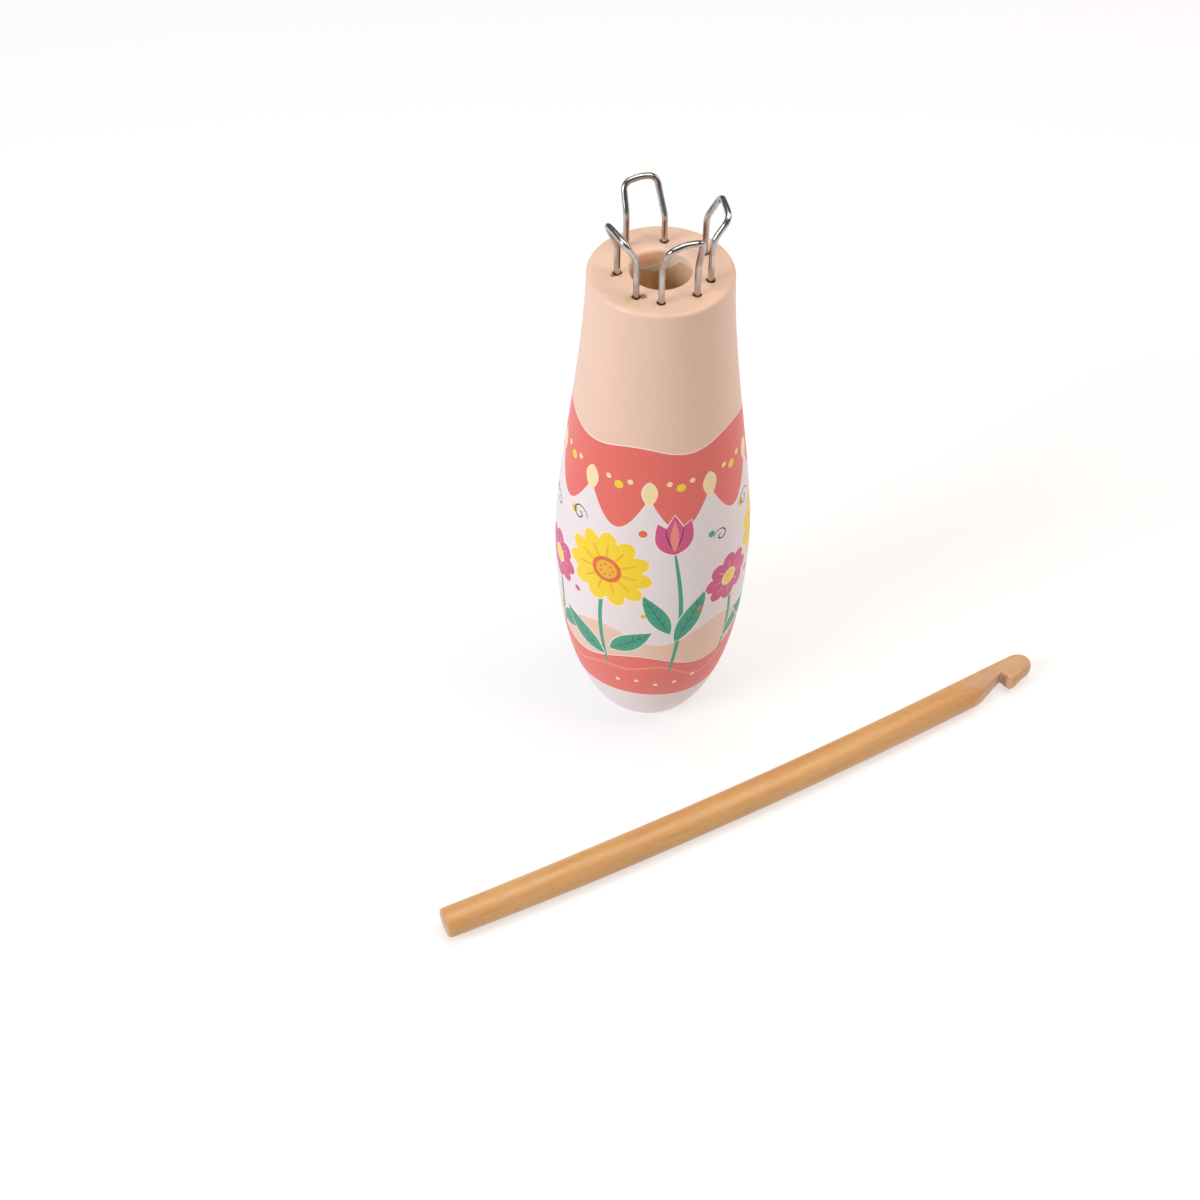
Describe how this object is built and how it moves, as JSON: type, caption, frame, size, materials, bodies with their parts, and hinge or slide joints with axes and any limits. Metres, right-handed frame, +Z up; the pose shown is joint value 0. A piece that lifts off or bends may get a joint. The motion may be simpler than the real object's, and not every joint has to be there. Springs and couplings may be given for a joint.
{
  "type": "i-cord maker",
  "caption": "Turned wooden knitting dolly with a bore down its middle and wire loops on top, for knitting cord, with its loose wooden crochet hook.",
  "frame": {"origin": "centre of the bore at the body's base, on the surface that it stands on", "axes": "+Z up the bore towards the wire loops; the front loop leans towards -Y; the loose hook lies in front, mostly along X, with its head towards +X"},
  "size_m": [0.1487, 0.0741, 0.1307],
  "materials": {
    "painted_wood": "satin paint over turned wood",
    "steel_wire": "bright drawn wire",
    "hook_wood": "satin varnish"
  },
  "bodies": {
    "dolly": {"dolly_body": "painted_wood", "wire_loop_front": "steel_wire", "wire_loop_right": "steel_wire", "wire_loop_back": "steel_wire", "wire_loop_left": "steel_wire"},
    "hook": {"crochet_hook": "hook_wood"}
  },
  "joints": [
    {"name": "hook_lift", "type": "slide", "parent": "dolly", "child": "hook", "axis": [0, 0, 1], "range_m": [0, 0.15]}
  ]
}
